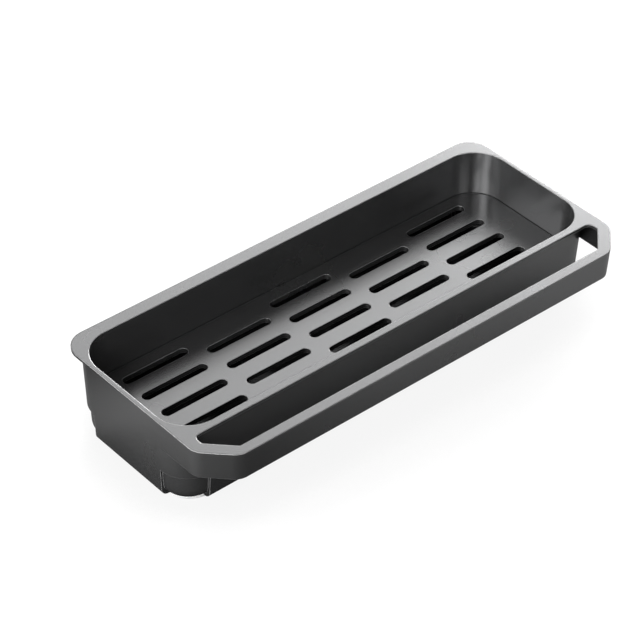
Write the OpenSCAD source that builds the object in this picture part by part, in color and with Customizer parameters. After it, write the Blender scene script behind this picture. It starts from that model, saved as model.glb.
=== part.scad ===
// Kitchen sink caddy: a moulded tray with a towel rail across its front,
// a slotted drain plate that lifts out, and four round feet.
// Origin: middle of the footprint, on the surface that the feet stand on.
// X runs along the width, -Y is the towel rail side, +Z is up.

/* [Overall] */
// Overall width across the rim
caddy_w = 262; // [200:1:340]
// Overall depth, towel rail included
caddy_d = 114; // [100:1:170]
// Overall height, feet included
caddy_h = 50; // [44:0.5:90]

/* [Rim] */
// Width of the rim's flat top at each end
rim_side_w = 2.3; // [2:0.1:8]
// Width of the rim's flat top along the back
rim_back_w = 7.1; // [3:0.1:15]
// Thickness of the rim flange
rim_t = 1.5; // [1:0.1:3]
// Corner radius of the rim at the back
rim_back_r = 12; // [5:0.5:20]
// Width of the strip between the basket and the towel gap
strip_w = 3.9; // [3:0.1:12]

/* [Basket] */
// Wall thickness of the basket
wall_t = 2.3; // [1.5:0.1:3]
// Thickness of the basket's front wall, under the strip
front_wall_t = 2.9; // [1.5:0.1:4]
// Draft of all outer and inner walls, in degrees
draft = 2.7; // [0.5:0.1:4]
// Corner radius of the basket's opening
open_r = 18; // [12:0.5:30]
// Corner radius of the basket's outer wall under the rim
outer_r = 17.5; // [14:0.5:30]
// Thickness of the pan floor
pan_t = 2.2; // [1.6:0.1:4]
// Outside rounding where the walls meet the pan floor
foot_line_r = 3.9; // [2:0.1:6]
// Inside rounding where the walls meet the pan floor
pan_r = 3; // [1:0.5:5]

/* [Corner steps] */
// Depth of the step in the outer wall at each lower corner
step_in = 1.3; // [0.5:0.1:2]
// Distance from the rim's top down to the step
step_drop = 30; // [24:0.5:60]
// Outside rounding at the bottom of each stepped corner
corner_line_r = 7; // [3:0.5:8]
// Width of the inner ledge that carries the drain plate at each corner
ledge_w = 2.6; // [1.5:0.1:5]

/* [Towel rail] */
// Width of the rail's flat top along the front
rail_w = 5.4; // [4:0.1:12]
// Width of each rail arm beside the towel gap
arm_w = 6.5; // [5:0.1:12]
// Height of the rail and its arms, flange included
rail_h = 15.3; // [8:0.1:25]
// Clear width of the towel gap, front to back
gap_w = 17.7; // [12:0.1:30]
// Length cut off each front corner of the rail, measured along each edge
rail_chamfer = 15; // [6:0.5:20]
// Length cut off each front corner of the towel gap
gap_chamfer = 12; // [4:0.5:16]
// Radius of the towel gap's rear corners
gap_r = 3; // [1:0.5:6]
// Outside radius of the rail's upright corners
rail_soft_r = 9; // [5:0.5:14]

/* [Drain plate] */
// Thickness of the drain plate
plate_t = 2.8; // [2:0.1:5]
// Distance from the rim's top down to the drain plate
plate_drop = 24.4; // [15:0.1:45]
// Clearance between the drain plate's edge and the basket wall
plate_gap = 0.3; // [0.3:0.05:1]
// Length of one slot
slot_l = 38.2; // [15:0.1:42]
// Width of one slot
slot_w = 5.4; // [2:0.1:9]
// Distance between slot columns
slot_pitch_x = 45; // [43:0.5:60]
// Plain border between the slots and the plate's front and back edges
slot_border_y = 6.05; // [4:0.05:15]
// Number of slot columns
slot_columns = 5; // [1:2:5]
// Number of slots in the columns that hold the most
slot_rows = 5; // [2:1:5]
// Shift of the slot field towards the back
slot_shift_y = -0.8; // [-1.5:0.1:1.5]

/* [Feet] */
// Radius of each foot
foot_r = 14.3; // [8:0.1:20]
// Height of each foot below the shell
foot_h = 3.5; // [2:0.1:6]
// Depth of the shallow seat that each foot sits in
foot_seat = 0.5; // [0.3:0.1:1]
// Clearance round each foot in its seat
foot_gap = 0.15; // [0.1:0.05:0.4]
// Distance from the basket's outer wall, at the rim, to each foot's middle
foot_inset = 21.9; // [20:0.1:35]
// Rounding of each foot's lower edge
foot_edge_r = 0.9; // [0.3:0.1:1.5]
// Radius of the hollow under each foot
foot_dish_r = 10.5; // [4:0.5:14]
// Depth of the hollow under each foot
foot_dish = 0.8; // [0.4:0.1:1.5]

/* [Hidden] */

$fn = 96;
// Cuts run this far past the faces that they open
over = 1;
shell_grey = "#4b4c4e";
plate_grey = "#5a5b5d";
foot_white = "#e8e8e6";

slope = tan(draft);
half_w = caddy_w / 2;
y_front = -caddy_d / 2;
y_back = caddy_d / 2;

// The basket's opening in the rim
open_half_w = half_w - rim_side_w;
y_open_front = y_front + rail_w + gap_w + strip_w;
y_open_back = y_back - rim_back_w;
y_mid = (y_open_front + y_open_back) / 2;
open_half_d = (y_open_back - y_open_front) / 2;

// The basket's outer wall, where it meets the flange
outer_half_w = open_half_w + wall_t;
outer_half_d = open_half_d + (front_wall_t + wall_t) / 2;
y_mid_outer = y_mid + (wall_t - front_wall_t) / 2;

z_rim = caddy_h;
z_flange = z_rim - rim_t;
z_shell = foot_h;
z_pan = z_shell + pan_t;
z_step = z_rim - step_drop;
z_plate = z_rim - plate_drop;
z_ledge = z_plate - plate_t;
z_rail = z_rim - rail_h;

// The drain plate, drawn in from the opening by the wall's draft and its clearance
plate_inset = (z_rim - z_ledge) * slope + plate_gap;
plate_half_w = open_half_w - plate_inset;
plate_half_d = open_half_d - plate_inset;
plate_r = open_r - plate_inset;
slot_pitch_y = (2 * (plate_half_d - slot_border_y) - slot_w) / (slot_rows - 1);

// Where the towel gap lies
gap_half_w = half_w - arm_w;
y_gap_front = y_front + rail_w;
y_gap_back = y_gap_front + gap_w;

// Middle of the arc that blends a drafted wall of radius r at the height z_top into a floor at z_low
function blend_x(r, z_top, z_low, fillet) = r - (z_top - z_low - fillet) * slope - fillet / cos(draft);

// Half of a drafted wall's section, x outwards from the corner's middle and y up
module wall_section(r, z_top, z_low, fillet) {
    xc = blend_x(r, z_top, z_low, fillet);
    zc = z_low + fillet;
    union() {
        polygon([
            [0, z_low],
            [xc, z_low],
            [xc + fillet * cos(draft), zc - fillet * sin(draft)],
            [r, z_top],
            [0, z_top]
        ]);
        translate([xc, zc]) circle(r = fillet);
    }
}

// The same section cut to the band between two heights
module section_band(z_low, z_high) {
    intersection() {
        children();
        translate([0, z_low]) square([caddy_w, z_high - z_low]);
    }
}

// Straight sides of a basket form: child 0 is the wall section, placed at all four sides
module straight_sides(half_x, half_y, r, z_low, z_high) {
    cx = half_x - r;
    cy = half_y - r;
    rotate([90, 0, 0]) linear_extrude(height = 2 * cy, center = true) {
        translate([-cx, z_low]) square([2 * cx, z_high - z_low]);
        translate([cx, 0]) children();
        mirror([1, 0]) translate([cx, 0]) children();
    }
    rotate([90, 0, 90]) linear_extrude(height = 2 * cx, center = true) {
        translate([-cy, z_low]) square([2 * cy, z_high - z_low]);
        translate([cy, 0]) children();
        mirror([1, 0]) translate([cy, 0]) children();
    }
}

// Round corners of a basket form: child 0 is the wall section, turned through a quarter at each corner
module round_corners(half_x, half_y, r) {
    cx = half_x - r;
    cy = half_y - r;
    for (q = [0 : 3]) {
        sx = (q == 0 || q == 3) ? 1 : -1;
        sy = (q < 2) ? 1 : -1;
        translate([sx * cx, sy * cy, 0]) rotate([0, 0, 90 * q]) rotate_extrude(angle = 90) children();
    }
}

// Outside of the basket, with a step in at each lower corner
module basket_outside() {
    translate([0, y_mid_outer, 0]) {
        straight_sides(outer_half_w, outer_half_d, outer_r, z_shell, z_flange)
            wall_section(outer_r, z_flange, z_shell, foot_line_r);
        round_corners(outer_half_w, outer_half_d, outer_r) {
            section_band(z_step, z_flange) wall_section(outer_r, z_flange, z_shell, foot_line_r);
            section_band(z_shell, z_step) wall_section(outer_r - step_in, z_flange, z_shell, corner_line_r);
        }
    }
}

// Inside of the basket: wide above the ledges, drawn in at the corners below them
module basket_inside() {
    top = z_rim + over;
    open_top_r = open_r + over * slope;
    grown = over * slope;
    translate([0, y_mid, 0]) {
        straight_sides(open_half_w + grown, open_half_d + grown, open_top_r, z_pan, top)
            wall_section(open_top_r, top, z_pan, pan_r);
        round_corners(open_half_w + grown, open_half_d + grown, open_top_r) {
            section_band(z_ledge, top) wall_section(open_top_r, top, z_pan, pan_r);
            section_band(z_pan, z_ledge) wall_section(open_top_r - ledge_w, top, z_pan, pan_r);
        }
    }
}

// Where it ends inside the flange, the rail's skirt stands in from the flange's edge by this much
// at its rounded corners, and by this much again along its straight runs, so that runs and corners
// cross and don't just touch
skirt_step = 0.02;
// Sum of the skirt's outer and inner corner radius, halfway down
skirt_radii = 2 * rail_soft_r - (z_flange - z_rail) * slope - wall_t;
// How far the runs reach into the corners, and the angle by which the corners reach into the runs
skirt_lap = sqrt(skirt_step * skirt_radii);
skirt_turn = sqrt(4 * skirt_step / skirt_radii) * 180 / PI;

// Middles of the arcs that soften the rail's front corners, for the right half
soft_k = rail_soft_r * tan(22.5);
soft_side = [half_w - rail_soft_r, y_front + rail_chamfer + soft_k];
soft_front = [half_w - rail_chamfer - soft_k, y_front + rail_soft_r];

// Plan of the whole rim, towel gap and basket not yet cut out
module rim_plan() {
    bevel = soft_k / sqrt(2);
    right = [
        [soft_front.x, y_front],
        [half_w - rail_chamfer + bevel, y_front + bevel],
        [half_w - bevel, y_front + rail_chamfer - bevel],
        [half_w, soft_side.y],
        [half_w, y_back - rim_back_r],
        [half_w - rim_back_r, y_back]
    ];
    left = [for (i = [len(right) - 1 : -1 : 0]) [-right[i].x, right[i].y]];
    union() {
        polygon(concat(right, left));
        for (s = [-1, 1]) {
            translate([s * soft_side.x, soft_side.y]) circle(r = rail_soft_r);
            translate([s * soft_front.x, soft_front.y]) circle(r = rail_soft_r);
            translate([s * (half_w - rim_back_r), y_back - rim_back_r]) circle(r = rim_back_r);
        }
    }
}

// Plan of the towel gap: square-cut front corners and round rear ones
module gap_plan() {
    right = [
        [gap_half_w - gap_chamfer, y_gap_front],
        [gap_half_w, y_gap_front + gap_chamfer],
        [gap_half_w, y_gap_back - gap_r],
        [gap_half_w - gap_r, y_gap_back]
    ];
    left = [for (i = [len(right) - 1 : -1 : 0]) [-right[i].x, right[i].y]];
    union() {
        polygon(concat(right, left));
        for (s = [-1, 1])
            translate([s * (gap_half_w - gap_r), y_gap_back - gap_r]) circle(r = gap_r);
    }
}

// Flat flange that forms the rim, the strip and the top of the rail
module rim_flange() {
    translate([0, 0, z_flange]) linear_extrude(height = rim_t) difference() {
        rim_plan();
        gap_plan();
    }
}

// Section of the rail's skirt, x outwards from the middle of a rounded corner and y up. It reaches
// into the flange above it and past the rail's lower edge, where one flat cut ends all of the skirt.
module skirt_section(inset) {
    z_top = z_flange + rim_t / 2;
    z_low = z_rail - over;
    top_r = rail_soft_r - inset;
    low_r = top_r - (z_top - z_low) * slope;
    polygon([[low_r, z_low], [top_r, z_top], [top_r - wall_t, z_top], [low_r - wall_t, z_low]]);
}

// Straight run of the skirt between two corner middles, its outside on the right
module skirt_run(from, to) {
    along = to - from;
    translate([from.x, from.y, 0]) rotate([0, 0, atan2(along.y, along.x)]) rotate([90, 0, 90])
        translate([0, 0, -skirt_lap]) linear_extrude(height = norm(along) + 2 * skirt_lap)
            mirror([1, 0]) skirt_section(2 * skirt_step);
}

// Eighth of a turn of the skirt round one corner middle
module skirt_corner(middle, start) {
    translate([middle.x, middle.y, 0]) rotate([0, 0, start - skirt_turn])
        rotate_extrude(angle = 45 + 2 * skirt_turn) skirt_section(skirt_step);
}

// Skirt that hangs from the flange along the front and both arms, drafted like the basket
module rail_skirt() {
    y_arm = y_mid_outer - (outer_half_d - outer_r) + over;
    intersection() {
        union() {
            skirt_run([-soft_front.x, soft_front.y], soft_front);
            for (m = [0, 1]) mirror([m, 0, 0]) {
                skirt_corner(soft_front, -90);
                skirt_run(soft_front, soft_side);
                skirt_corner(soft_side, -45);
                skirt_run(soft_side, [soft_side.x, y_arm]);
            }
        }
        translate([-caddy_w, -caddy_d, z_rail]) cube([2 * caddy_w, 2 * caddy_d, rail_h]);
    }
}

// One child at the middle of each foot
module at_foot(side_x, side_y) {
    translate([
        side_x * (outer_half_w - foot_inset),
        y_mid_outer + side_y * (outer_half_d - foot_inset),
        0
    ]) children();
}

module caddy_shell() {
    color(shell_grey) difference() {
        union() {
            basket_outside();
            rim_flange();
            rail_skirt();
        }
        basket_inside();
        for (sx = [-1, 1]) for (sy = [-1, 1])
            at_foot(sx, sy) translate([0, 0, z_shell - over])
                cylinder(h = over + foot_seat, r = foot_r + foot_gap);
    }
}

// Plan of one slot, with round ends
module slot_plan() {
    reach = (slot_l - slot_w) / 2;
    union() {
        square([2 * reach, slot_w], center = true);
        for (s = [-1, 1]) translate([s * reach, 0]) circle(r = slot_w / 2);
    }
}

// Staggered columns: every second column holds one slot fewer, half a pitch on
module slot_field() {
    middle = (slot_columns - 1) / 2;
    for (c = [0 : slot_columns - 1]) {
        rows = slot_rows - abs(c - middle) % 2;
        for (r = [0 : rows - 1])
            translate([
                (c - middle) * slot_pitch_x,
                slot_shift_y + (r - (rows - 1) / 2) * slot_pitch_y
            ]) slot_plan();
    }
}

module drain_plate() {
    color(plate_grey) translate([0, y_mid, z_ledge]) linear_extrude(height = plate_t) difference() {
        union() {
            square([2 * plate_half_w, 2 * (plate_half_d - plate_r)], center = true);
            square([2 * (plate_half_w - plate_r), 2 * plate_half_d], center = true);
            for (sx = [-1, 1]) for (sy = [-1, 1])
                translate([sx * (plate_half_w - plate_r), sy * (plate_half_d - plate_r)])
                    circle(r = plate_r);
        }
        slot_field();
    }
}

// Soft round foot with a rounded lower edge and a shallow hollow beneath
module foot(side_x, side_y) {
    top = foot_h + foot_seat;
    color(foot_white) at_foot(side_x, side_y) difference() {
        rotate_extrude() union() {
            translate([0, foot_edge_r]) square([foot_r, top - foot_edge_r]);
            square([foot_r - foot_edge_r, foot_edge_r]);
            translate([foot_r - foot_edge_r, foot_edge_r]) circle(r = foot_edge_r);
        }
        translate([0, 0, -over]) cylinder(h = over + foot_dish, r = foot_dish_r);
    }
}

caddy_shell();
drain_plate();
foot(-1, -1);  // foot_front_left
foot(1, -1);  // foot_front_right
foot(-1, 1);  // foot_back_left
foot(1, 1);  // foot_back_right
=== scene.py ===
# %% [markdown]
# # Kitchen sink caddy
# This lesson dresses a finished CAD model in Blender. The caddy is a long, shallow
# tray moulded in dark grey plastic, with a towel rail across its front, a slotted
# drain plate that lifts out, and four soft round feet. The shapes come from the CAD
# model; light, edges and surface finish are made here.

# %% Load the frame
import math

import bmesh
import bpy
from mathutils import Matrix, Vector

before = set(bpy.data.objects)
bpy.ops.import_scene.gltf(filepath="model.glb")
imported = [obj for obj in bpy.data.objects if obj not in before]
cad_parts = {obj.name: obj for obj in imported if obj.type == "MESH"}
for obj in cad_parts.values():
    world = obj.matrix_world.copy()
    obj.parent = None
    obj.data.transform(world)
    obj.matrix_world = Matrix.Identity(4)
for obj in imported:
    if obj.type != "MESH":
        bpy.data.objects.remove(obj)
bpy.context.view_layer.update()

MM = 0.001
print("nodes:", sorted(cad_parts))

# %% [markdown]
# ## The camera
# The photograph was taken from the front left, well above the tray, with a long lens.
# The place, the turn and the focal length were solved from the straight edges of the
# rim, the rail and the slots, so the camera is written down as those numbers. Turning
# a camera by hand until it looks right would be slower and less exact.

# %% The camera
CAMERA_AT = Vector((-650.8, -710.7, 809.0)) * MM
CAMERA_RIGHT = Vector((0.75772, -0.65233, 0.01778))
CAMERA_DOWN = Vector((-0.39956, -0.48530, -0.77771))
LENS_MM = 145.0
SENSOR_MM = 36.0
# The numbers above count from the middle of a pixel, Blender counts from its corner
PICTURE_WIDTH = 640
HALF_PIXEL = 0.5 / PICTURE_WIDTH
NEAR_CLIP = 0.01
FAR_CLIP = 50.0


def make_camera():
    """A camera from its right and down directions; it looks along their cross product."""
    right = CAMERA_RIGHT.normalized()
    up = -(CAMERA_DOWN - CAMERA_DOWN.dot(right) * right).normalized()
    back = right.cross(up)
    turn = Matrix((right, up, back)).transposed().to_4x4()
    data = bpy.data.cameras.new("camera")
    data.lens = LENS_MM
    data.sensor_width = SENSOR_MM
    data.shift_x = -HALF_PIXEL
    data.shift_y = HALF_PIXEL
    data.clip_start = NEAR_CLIP
    data.clip_end = FAR_CLIP
    camera = bpy.data.objects.new("camera", data)
    camera.matrix_world = Matrix.Translation(CAMERA_AT) @ turn
    bpy.context.scene.collection.objects.link(camera)
    bpy.context.scene.camera = camera
    return camera


camera = make_camera()
print("camera looks along", [round(-v, 3) for v in camera.matrix_world.col[2][:3]])

# %% [markdown]
# ## Small helpers for shader nodes
# A material is a tree of nodes. A few helpers keep the cells short. The first adds a
# node and sets its inputs by name, the second joins two sockets, and the third mixes two
# colours. The last starts a node group with named sockets, for an effect that several
# materials share.


# %% Node helpers
def add_node(tree, kind, inputs=None, **settings):
    """A shader node of that kind. settings are its properties, inputs its socket values."""
    made = tree.nodes.new(kind)
    for name, value in settings.items():
        setattr(made, name, value)
    for name, value in (inputs or {}).items():
        made.inputs[name].default_value = value
    return made


def join(tree, source, target):
    """A link from an output socket to an input socket."""
    tree.links.new(source, target)


print("node helpers ready")

# %% A mix of two colours
# A Mix node shares its sockets among numbers and colours, so those for colours are found
# by their places
MIX_SHARE = 0
MIX_FIRST_COLOUR = 6
MIX_SECOND_COLOUR = 7
MIX_RESULT = 2


def mixed(tree, share, first, second):
    """The socket of a mix from first to second, which are colours or sockets."""
    mix = add_node(tree, "ShaderNodeMix", data_type="RGBA")
    join(tree, share, mix.inputs[MIX_SHARE])
    for slot, colour in ((MIX_FIRST_COLOUR, first), (MIX_SECOND_COLOUR, second)):
        if isinstance(colour, tuple):
            mix.inputs[slot].default_value = (*colour, 1.0)
        else:
            join(tree, colour, mix.inputs[slot])
    return mix.outputs[MIX_RESULT]


print("colour mixer ready")


# %% A new node group
def new_group(name, inputs, outputs):
    """A shader node group. An input is (name, socket type, default), an output (name, type)."""
    tree = bpy.data.node_groups.new(name, "ShaderNodeTree")
    for label, kind, default in inputs:
        socket = tree.interface.new_socket(label, in_out="INPUT", socket_type=kind)
        socket.default_value = default
    for label, kind in outputs:
        tree.interface.new_socket(label, in_out="OUTPUT", socket_type=kind)
    return tree, tree.nodes.new("NodeGroupInput"), tree.nodes.new("NodeGroupOutput")


print("group helper ready")

# %% [markdown]
# ## Moulded grain
# A moulded satin surface is not one even tone. The steel mould leaves a fine grain, and
# the plastic cools unevenly, so colour and gloss drift slowly from place to place. Noise
# at two sizes gives both, at its real scale and without a seam, which a picture wrapped
# round the walls would not. The group puts out two masks, and each material uses them
# for its colour, its roughness and a bump.

# %% Moulded grain group
GRAIN_DETAIL = 2.0
DRIFT_DETAIL = 3.0


def moulded_grain_group():
    """Two noise masks from 0 to 1, a fine one and a slow one, at sizes given in mm."""
    tree, given, result = new_group(
        "moulded grain",
        [
            ("Grain Size mm", "NodeSocketFloat", 0.5),
            ("Drift Size mm", "NodeSocketFloat", 40.0),
        ],
        [("Grain", "NodeSocketFloat"), ("Drift", "NodeSocketFloat")],
    )
    place = add_node(tree, "ShaderNodeTexCoord")
    for kind, detail in (("Grain", GRAIN_DETAIL), ("Drift", DRIFT_DETAIL)):
        scale = add_node(tree, "ShaderNodeMath", {0: 1.0 / MM}, operation="DIVIDE")
        join(tree, given.outputs[kind + " Size mm"], scale.inputs[1])
        noise = add_node(tree, "ShaderNodeTexNoise", {"Detail": detail})
        join(tree, place.outputs["Object"], noise.inputs["Vector"])
        join(tree, scale.outputs[0], noise.inputs["Scale"])
        join(tree, noise.outputs["Fac"], result.inputs[kind])
    return tree


MOULDED_GRAIN = moulded_grain_group()
print("group:", MOULDED_GRAIN.name)

# %% A value that follows the drift
# Noise seldom leaves this middle part of its range from 0 to 1
NOISE_LOW = 0.3
NOISE_HIGH = 0.7


def drifting(tree, mask, low, high):
    """The socket of a value that goes from low to high as the noise mask rises."""
    ends = {"From Min": NOISE_LOW, "From Max": NOISE_HIGH, "To Min": low, "To Max": high}
    spread = add_node(tree, "ShaderNodeMapRange", ends)
    join(tree, mask, spread.inputs["Value"])
    return spread.outputs[0]


print("noise used from", NOISE_LOW, "to", NOISE_HIGH)

# %% [markdown]
# ## Soft, polished edges
# A mould never gives a razor edge, and handling polishes the corners of a moulding
# first. Rounding every edge of the mesh would change the CAD shape. The Bevel node
# answers instead with the normal that a rounded edge would have, so each edge catches
# the light in a thin line. The angle between that normal and the true one marks the
# edges. A little noise breaks this mask up, because wear is never even. The materials
# use the mask for wear and also for a painted highlight: a paler colour along the edges.

# %% Soft edge group
# The cosine of that angle where the edge begins, and where it is fully worn
EDGE_BEGINS = 0.995
EDGE_WORN = 0.85
# Patches of uneven wear for each metre of the surface
WEAR_PATCHES = 160.0
WEAR_DETAIL = 3.0
EDGE_SAMPLES = 12


def soft_edge_group():
    """The normal of a rounded edge of the given width, and a mask of where edges are worn, also used for
    a painted highlight.
    """
    tree, given, result = new_group(
        "soft edge",
        [("Width mm", "NodeSocketFloat", 0.6), ("Break Up", "NodeSocketFloat", 0.35)],
        [("Normal", "NodeSocketVector"), ("Mask", "NodeSocketFloat")],
    )
    radius = add_node(tree, "ShaderNodeMath", {1: MM}, operation="MULTIPLY")
    join(tree, given.outputs["Width mm"], radius.inputs[0])
    bevel = add_node(tree, "ShaderNodeBevel", samples=EDGE_SAMPLES)
    join(tree, radius.outputs[0], bevel.inputs["Radius"])
    join(tree, bevel.outputs["Normal"], result.inputs["Normal"])
    true = add_node(tree, "ShaderNodeNewGeometry")
    dot = add_node(tree, "ShaderNodeVectorMath", operation="DOT_PRODUCT")
    join(tree, bevel.outputs["Normal"], dot.inputs[0])
    join(tree, true.outputs["Normal"], dot.inputs[1])
    span = {"From Min": EDGE_BEGINS, "From Max": EDGE_WORN}
    edge = add_node(tree, "ShaderNodeMapRange", span)
    join(tree, dot.outputs["Value"], edge.inputs["Value"])
    place = add_node(tree, "ShaderNodeTexCoord")
    wear = {"Scale": WEAR_PATCHES, "Detail": WEAR_DETAIL}
    noise = add_node(tree, "ShaderNodeTexNoise", wear)
    join(tree, place.outputs["Object"], noise.inputs["Vector"])
    broken = add_node(tree, "ShaderNodeMath", operation="MULTIPLY")
    join(tree, noise.outputs["Fac"], broken.inputs[0])
    join(tree, given.outputs["Break Up"], broken.inputs[1])
    kept = add_node(tree, "ShaderNodeMath", operation="SUBTRACT", use_clamp=True)
    join(tree, edge.outputs[0], kept.inputs[0])
    join(tree, broken.outputs[0], kept.inputs[1])
    join(tree, kept.outputs[0], result.inputs["Mask"])
    return tree


SOFT_EDGE = soft_edge_group()
print("group:", SOFT_EDGE.name)

# %% [markdown]
# ## Painted shade in hollows
# The space under the drain plate gets hardly any light, so the slots look black from
# above. The plastic's colour is darkened there as painted shade. Ambient occlusion
# measures how much of the surroundings a spot sees within a given reach. The group
# turns that into a mask, from 0 where the spot is shut in to 1 where it is clear. The
# floor uses it too, for a painted shadow round the object where it stands.

# %% Hollow group
# The share of its own colour that a spot keeps where it is shut in, as painted shade
PAINTED_SHADE_SHARE = 0.1
HOLLOW_SAMPLES = 10


def hollow_group():
    """A mask from 0 to 1 between the shares of open surroundings called Shut and Clear."""
    tree, given, result = new_group(
        "open to light",
        [
            ("Reach mm", "NodeSocketFloat", 60.0),
            ("Shut", "NodeSocketFloat", 0.08),
            ("Clear", "NodeSocketFloat", 0.3),
        ],
        [("Open", "NodeSocketFloat")],
    )
    reach = add_node(tree, "ShaderNodeMath", {1: MM}, operation="MULTIPLY")
    join(tree, given.outputs["Reach mm"], reach.inputs[0])
    seen = add_node(tree, "ShaderNodeAmbientOcclusion", samples=HOLLOW_SAMPLES)
    join(tree, reach.outputs[0], seen.inputs["Distance"])
    spread = add_node(tree, "ShaderNodeMapRange")
    join(tree, seen.outputs["AO"], spread.inputs["Value"])
    join(tree, given.outputs["Shut"], spread.inputs["From Min"])
    join(tree, given.outputs["Clear"], spread.inputs["From Max"])
    join(tree, spread.outputs[0], result.inputs["Open"])
    return tree


OPEN_TO_LIGHT = hollow_group()
print("group:", OPEN_TO_LIGHT.name)


# %% A version of a colour with painted shade
def dull(colour):
    """The colour with painted shade that a shut-in spot has."""
    return tuple(PAINTED_SHADE_SHARE * value for value in colour)


print("a shut-in spot keeps", PAINTED_SHADE_SHARE, "of its colour")

# %% [markdown]
# ## Gunmetal plastic
# The tray and its plate are the same kind of plastic, coloured with a grey metallic
# pigment. Its flakes lie flat in the skin, so the surface mirrors its surroundings
# softly in its own grey: flat tops that face the window look light, and walls that
# mirror the dim side of the room look nearly black. Plain dark plastic can't do that,
# so most of the shader is metallic and the rest is ordinary plastic. Rubbing dulls the
# flakes first, so the worn edges are less metallic. Their paler colour is partly wear
# and partly a painted highlight, and shut-in hollows get painted shade in the colour.

# %% Metallic plastic settings
PLASTIC_DARK = (0.200, 0.201, 0.203)
PLASTIC_LIGHT = (0.228, 0.229, 0.231)
PLASTIC_METALLIC = 0.88
PLASTIC_ROUGHNESS = 0.26
PLASTIC_IOR = 1.5
PLASTIC_GRAIN = {"Grain Size mm": 1.1, "Drift Size mm": 45.0}
# The grain's share of the change in colour; the drift has the rest
GRAIN_SHARE = 0.25
# How far the roughness drifts either way
GLOSS_DRIFT = 0.02
GRAIN_BUMP = {"Strength": 0.05, "Distance": 0.01 * MM}
# Worn edges: their colour, which is partly a painted highlight, the share of the metallic value that
# stays, their extra polish
WORN_AND_HIGHLIGHT_COLOUR = (0.58, 0.58, 0.585)
WORN_METALLIC = 0.4
WORN_POLISH = 0.05
WORN_BREAK_UP = 0.2
# The reach and limits of the painted shade in the pan and other hollows
PAN_PAINTED_SHADE = {"Reach mm": 60.0, "Shut": 0.08, "Clear": 0.30}
print("plastic base colour", PLASTIC_DARK, "to", PLASTIC_LIGHT)


# %% The plastic's colour
def plastic_colour(tree, skin, edge):
    """A colour socket: grain and drift, then paler edges that are worn and painted highlight, then
    painted shade in hollows.
    """
    flakes = add_node(tree, "ShaderNodeMath", {1: GRAIN_SHARE}, operation="MULTIPLY")
    join(tree, skin.outputs["Grain"], flakes.inputs[0])
    pigment = add_node(tree, "ShaderNodeMath", {1: 1.0 - GRAIN_SHARE}, operation="MULTIPLY_ADD")
    join(tree, skin.outputs["Drift"], pigment.inputs[0])
    join(tree, flakes.outputs[0], pigment.inputs[2])
    tint = mixed(tree, pigment.outputs[0], PLASTIC_DARK, PLASTIC_LIGHT)
    # Edges turn paler, partly from wear and partly as a painted highlight
    worn_and_highlit = mixed(tree, edge.outputs["Mask"], tint, WORN_AND_HIGHLIGHT_COLOUR)
    # Painted shade: the colour darkens towards a tenth of the dark grey where little round it is open
    painted_shade_mask = add_node(tree, "ShaderNodeGroup", PAN_PAINTED_SHADE, node_tree=OPEN_TO_LIGHT)
    return mixed(tree, painted_shade_mask.outputs["Open"], dull(PLASTIC_DARK), worn_and_highlit)


print("hollows end at", [round(value, 3) for value in dull(PLASTIC_DARK)])


# %% The plastic's gloss
def plastic_roughness(tree, skin, edge):
    """A roughness socket that drifts over the walls and drops at the polished edges."""
    smooth, rough = PLASTIC_ROUGHNESS - GLOSS_DRIFT, PLASTIC_ROUGHNESS + GLOSS_DRIFT
    worn = add_node(tree, "ShaderNodeMath", {1: WORN_POLISH}, operation="MULTIPLY")
    join(tree, edge.outputs["Mask"], worn.inputs[0])
    polished = add_node(tree, "ShaderNodeMath", operation="SUBTRACT", use_clamp=True)
    join(tree, drifting(tree, skin.outputs["Drift"], smooth, rough), polished.inputs[0])
    join(tree, worn.outputs[0], polished.inputs[1])
    return polished.outputs[0]


print("plastic roughness", PLASTIC_ROUGHNESS, "with a drift of", GLOSS_DRIFT)


# %% Metallic plastic material
def metallic_plastic(name, edge_mm):
    """Satin plastic with a metallic pigment. Its edges are rounded by edge_mm and polished."""
    material = bpy.data.materials.new(name)
    material.use_nodes = True
    tree = material.node_tree
    shader = tree.nodes["Principled BSDF"]
    shader.inputs["IOR"].default_value = PLASTIC_IOR
    skin = add_node(tree, "ShaderNodeGroup", PLASTIC_GRAIN, node_tree=MOULDED_GRAIN)
    worn_edge = {"Width mm": edge_mm, "Break Up": WORN_BREAK_UP}
    edge = add_node(tree, "ShaderNodeGroup", worn_edge, node_tree=SOFT_EDGE)
    join(tree, plastic_colour(tree, skin, edge), shader.inputs["Base Color"])
    join(tree, plastic_roughness(tree, skin, edge), shader.inputs["Roughness"])
    ends = {"To Min": PLASTIC_METALLIC, "To Max": WORN_METALLIC * PLASTIC_METALLIC}
    flaked = add_node(tree, "ShaderNodeMapRange", ends)
    join(tree, edge.outputs["Mask"], flaked.inputs["Value"])
    join(tree, flaked.outputs[0], shader.inputs["Metallic"])
    bump = add_node(tree, "ShaderNodeBump", GRAIN_BUMP)
    join(tree, skin.outputs["Grain"], bump.inputs["Height"])
    join(tree, edge.outputs["Normal"], bump.inputs["Normal"])
    join(tree, bump.outputs["Normal"], shader.inputs["Normal"])
    return material


print("metallic share", PLASTIC_METALLIC)

# %% The tray's and the plate's plastic
# The tray's edges are rounder than the plate's, which is thin and cut with slots
SHELL_EDGE_MM = 0.7
PLATE_EDGE_MM = 0.25
SHELL_PLASTIC = metallic_plastic("shell plastic", SHELL_EDGE_MM)
PLATE_PLASTIC = metallic_plastic("plate plastic", PLATE_EDGE_MM)
print("materials:", SHELL_PLASTIC.name, PLATE_PLASTIC.name)

# %% [markdown]
# ## Foot rubber
# The feet are soft, milky silicone. Light enters and comes out again, so the rubber
# gets some subsurface scattering besides its pale colour and a dull skin. In the
# photograph the foot's rim is nearly white although it is under the tray, because light
# from the worktop passes through it. A faint emission stands for that light.

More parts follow.
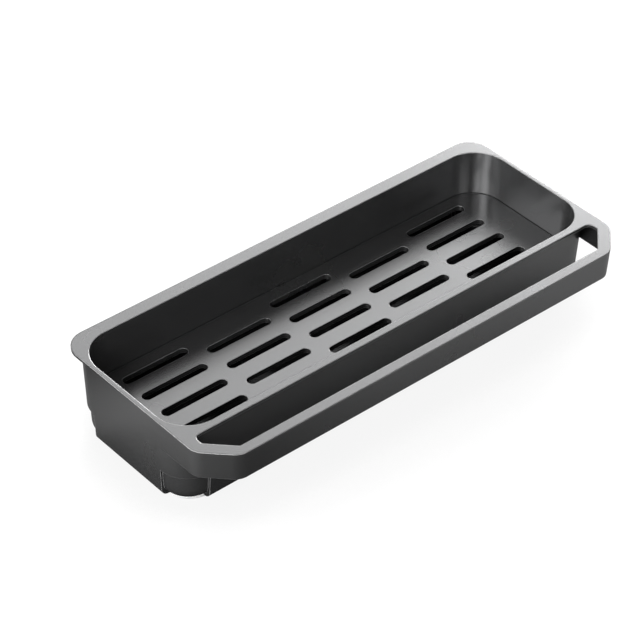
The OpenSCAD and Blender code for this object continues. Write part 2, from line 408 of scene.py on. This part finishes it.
# %% Foot rubber settings
RUBBER_DARK = (0.86, 0.86, 0.855)
RUBBER_LIGHT = (0.92, 0.92, 0.915)
RUBBER_ROUGHNESS = (0.42, 0.52)
RUBBER_GRAIN = {"Grain Size mm": 0.3, "Drift Size mm": 6.0}
RUBBER_BUMP = {"Strength": 0.2, "Distance": 0.03 * MM}
RUBBER_SCATTER = 0.4
RUBBER_SCATTER_RADIUS = (1.0, 0.95, 0.9)
RUBBER_SCATTER_DEPTH = 2.0 * MM
RUBBER_GLOW = 0.25
WHITE = (1.0, 1.0, 1.0, 1.0)
print("rubber base colour", RUBBER_DARK, "to", RUBBER_LIGHT)


# %% Foot rubber material
def foot_rubber(name):
    """Milky silicone: scattering, a faint glow and a dull skin."""
    material = bpy.data.materials.new(name)
    material.use_nodes = True
    tree = material.node_tree
    shader = tree.nodes["Principled BSDF"]
    shader.inputs["Subsurface Weight"].default_value = RUBBER_SCATTER
    shader.inputs["Subsurface Radius"].default_value = RUBBER_SCATTER_RADIUS
    shader.inputs["Subsurface Scale"].default_value = RUBBER_SCATTER_DEPTH
    shader.inputs["Emission Color"].default_value = WHITE
    shader.inputs["Emission Strength"].default_value = RUBBER_GLOW
    skin = add_node(tree, "ShaderNodeGroup", RUBBER_GRAIN, node_tree=MOULDED_GRAIN)
    tint = mixed(tree, skin.outputs["Drift"], RUBBER_DARK, RUBBER_LIGHT)
    join(tree, tint, shader.inputs["Base Color"])
    rough = drifting(tree, skin.outputs["Drift"], *RUBBER_ROUGHNESS)
    join(tree, rough, shader.inputs["Roughness"])
    bump = add_node(tree, "ShaderNodeBump", RUBBER_BUMP)
    join(tree, skin.outputs["Grain"], bump.inputs["Height"])
    join(tree, bump.outputs["Normal"], shader.inputs["Normal"])
    return material


FOOT_RUBBER = foot_rubber("foot rubber")
print("material:", FOOT_RUBBER.name)

# %% [markdown]
# ## Dressing the CAD pieces
# Each CAD node keeps its own mesh and gets its material. The meshes are true to the
# drawing, so nothing is added to their shape here: the soft edges are in the shader.


# %% Dress the nodes
def dress(name, material):
    """The named CAD node in that material, which takes the place of its own."""
    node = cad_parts[name]
    node.data.materials.clear()
    node.data.materials.append(material)
    print(name, len(node.data.vertices), "vertices", len(node.data.polygons), "faces")


dress("caddy_shell", SHELL_PLASTIC)
dress("drain_plate", PLATE_PLASTIC)
for foot in ("foot_front_left", "foot_front_right", "foot_back_left", "foot_back_right"):
    dress(foot, FOOT_RUBBER)

# %% [markdown]
# ## Floor and background
# The photograph's background is plain white. The floor is a large sheet whose colour is
# lifted to white for the camera, and a little for reflections, while other light sees
# an ordinary floor with painted shade on it. So the object keeps a soft shadow. The
# floor's colour also carries a painted shadow round the object. The upright walls mirror
# the floor in front of them, so its tone decides how light they look. Two spots of
# painted shade, one before the cut corner of the rail and one behind the left end, set
# the corner's faces apart. The first is painted lighter outside its middle, which makes
# the rail lighter towards the right. The camera itself sees the floor without the spots.

# %% Floor settings
FLOOR_SIZE = 12.0
FLOOR_COLOUR = (0.30, 0.30, 0.30)
FLOOR_ROUGHNESS = 0.9
FLOOR_SPECULAR = 0.1
# The light that the floor adds to its own colour for the camera and for reflections
SEEN_LIFT = 0.90
MIRRORED_LIFT = 0.02
# The reach and limits of the painted shadow that darkens the floor round the object
FLOOR_PAINTED_SHADOW = {"Reach mm": 100.0, "Shut": 0.60, "Clear": 0.92}
# Each spot of painted shade: its place in mm, the reach of its middle, the reach of all
# of it, and the tones in its middle and outside, where a tone above 1 is painted light
PAINTED_SHADE_SPOTS = (
    ((-110, -110, 0), 40, 125, 0.25, 1.5),
    ((-165, 100, 0), 22, 64, 0.1, 1.0),
)
print("dim spots:", len(PAINTED_SHADE_SPOTS))


# %% Floor colour
def spotted(tree, colour):
    """The colour socket that comes out when each spot of painted shade has scaled the given one."""
    place = add_node(tree, "ShaderNodeTexCoord")
    for spot, inner, outer, dim, clear in PAINTED_SHADE_SPOTS:
        away = add_node(tree, "ShaderNodeVectorMath", {1: Vector(spot) * MM}, operation="DISTANCE")
        join(tree, place.outputs["Object"], away.inputs[0])
        rim = {"From Min": inner * MM, "From Max": outer * MM, "To Min": dim, "To Max": clear}
        tone = add_node(tree, "ShaderNodeMapRange", rim)
        join(tree, away.outputs["Value"], tone.inputs["Value"])
        scaled = add_node(tree, "ShaderNodeVectorMath", operation="SCALE")
        join(tree, colour, scaled.inputs[0])
        join(tree, tone.outputs[0], scaled.inputs["Scale"])
        colour = scaled.outputs[0]
    return colour


print("each spot scales the floor's colour")


# %% Floor material
def lifted_white(name):
    """A floor that the camera sees as white and that the object's walls mirror as grey."""
    material = bpy.data.materials.new(name)
    material.use_nodes = True
    tree = material.node_tree
    shader = tree.nodes["Principled BSDF"]
    shader.inputs["Roughness"].default_value = FLOOR_ROUGHNESS
    shader.inputs["Specular IOR Level"].default_value = FLOOR_SPECULAR
    shader.inputs["Emission Color"].default_value = WHITE
    path = add_node(tree, "ShaderNodeLightPath")

    # Painted shadow: the floor's colour darkens to a tenth where little round it is open
    near = add_node(tree, "ShaderNodeGroup", FLOOR_PAINTED_SHADOW, node_tree=OPEN_TO_LIGHT)
    floor_with_painted_shadow = mixed(tree, near.outputs["Open"], dull(FLOOR_COLOUR), FLOOR_COLOUR)
    # All rays but the camera's see the spots of painted shade and light
    shown = mixed(tree, path.outputs["Is Camera Ray"], spotted(tree, floor_with_painted_shadow), floor_with_painted_shadow)
    join(tree, shown, shader.inputs["Base Color"])

    mirrored = add_node(tree, "ShaderNodeMath", operation="MAXIMUM")
    join(tree, path.outputs["Is Glossy Ray"], mirrored.inputs[0])
    join(tree, path.outputs["Is Transmission Ray"], mirrored.inputs[1])
    seen = add_node(tree, "ShaderNodeMath", {1: SEEN_LIFT}, operation="MULTIPLY")
    join(tree, path.outputs["Is Camera Ray"], seen.inputs[0])
    strength = add_node(tree, "ShaderNodeMath", {1: MIRRORED_LIFT}, operation="MULTIPLY_ADD")
    join(tree, mirrored.outputs[0], strength.inputs[0])
    join(tree, seen.outputs[0], strength.inputs[2])
    join(tree, strength.outputs[0], shader.inputs["Emission Strength"])
    return material


FLOOR_WHITE = lifted_white("floor white")
print("material:", FLOOR_WHITE.name)


# %% Floor
def floor(size):
    """A square sheet at the height that the feet stand on."""
    mesh = bpy.data.meshes.new("floor")
    form = bmesh.new()
    half = size / 2
    corners = [form.verts.new((x * half, y * half, 0.0)) for x, y in ((-1, -1), (1, -1), (1, 1), (-1, 1))]
    form.faces.new(corners)
    form.to_mesh(mesh)
    form.free()
    sheet = bpy.data.objects.new("floor", mesh)
    bpy.context.scene.collection.objects.link(sheet)
    mesh.materials.append(FLOOR_WHITE)
    return sheet


FLOOR = floor(FLOOR_SIZE)
print("floor", [round(side, 1) for side in FLOOR.dimensions[:2]], "m")

# %% [markdown]
# ## Studio light
# Ten softboxes stand round the tray, each aimed at its middle. Those behind it on the
# right are mirrored by the flat tops. Those in front on the left are mirrored by the
# end wall and the corners. A weak one overhead shows in the tops when the tray is seen
# from above. Each is written down by the compass angle and the height angle that it
# stands at, its size and its power. Apart from the overhead one's, the powers weren't
# set by eye: each lamp was rendered alone, and a least-squares fit mixed those pictures
# to come near the photograph's greys. The world itself is dark, because a metallic skin
# would mirror its white everywhere and the walls would lose their depth.

# %% Lights
LAMP_DISTANCE = 2.2
# Name, degrees round from +X, degrees up, side in metres, power in watts
LAMPS = (
    ("back window right", 30, 36, 0.9, 4.1),
    ("back window middle", 60, 43, 0.9, 4.1),
    ("back window low", 48, 22, 0.9, 8.3),
    ("right low light", 30, 18, 0.8, 24.4),
    ("left back light", 145, 30, 1.0, 8.6),
    ("left low light", 165, 18, 0.8, 19.4),
    ("left light", 195, 35, 0.8, 17.6),
    ("left front light", 222, 26, 0.7, 11.6),
    ("front light", 270, 25, 1.0, 6.4),
    ("ceiling light", 0, 84, 1.6, 6.0),
)


def softbox(name, turn, height, size, power):
    """A square lamp, turn degrees round from +X and height degrees up, aimed at the tray."""
    data = bpy.data.lights.new(name, "AREA")
    data.shape = "SQUARE"
    data.size = size
    data.energy = power
    lamp = bpy.data.objects.new(name, data)
    turn, height = math.radians(turn), math.radians(height)
    out = Vector((math.cos(turn) * math.cos(height), math.sin(turn) * math.cos(height), math.sin(height)))
    lamp.location = out * LAMP_DISTANCE
    lamp.rotation_mode = "QUATERNION"
    lamp.rotation_quaternion = (-out).to_track_quat("-Z", "Y")
    bpy.context.scene.collection.objects.link(lamp)
    print(name, "at", [round(side, 2) for side in lamp.location], "m")


for lamp_facts in LAMPS:
    softbox(*lamp_facts)

# %% The world and the view
world = bpy.data.worlds.new("studio")
bpy.context.scene.world = world
world.use_nodes = True
world.node_tree.nodes["Background"].inputs["Strength"].default_value = 0.0
bpy.context.scene.view_settings.view_transform = "Standard"
print("view transform:", bpy.context.scene.view_settings.view_transform)
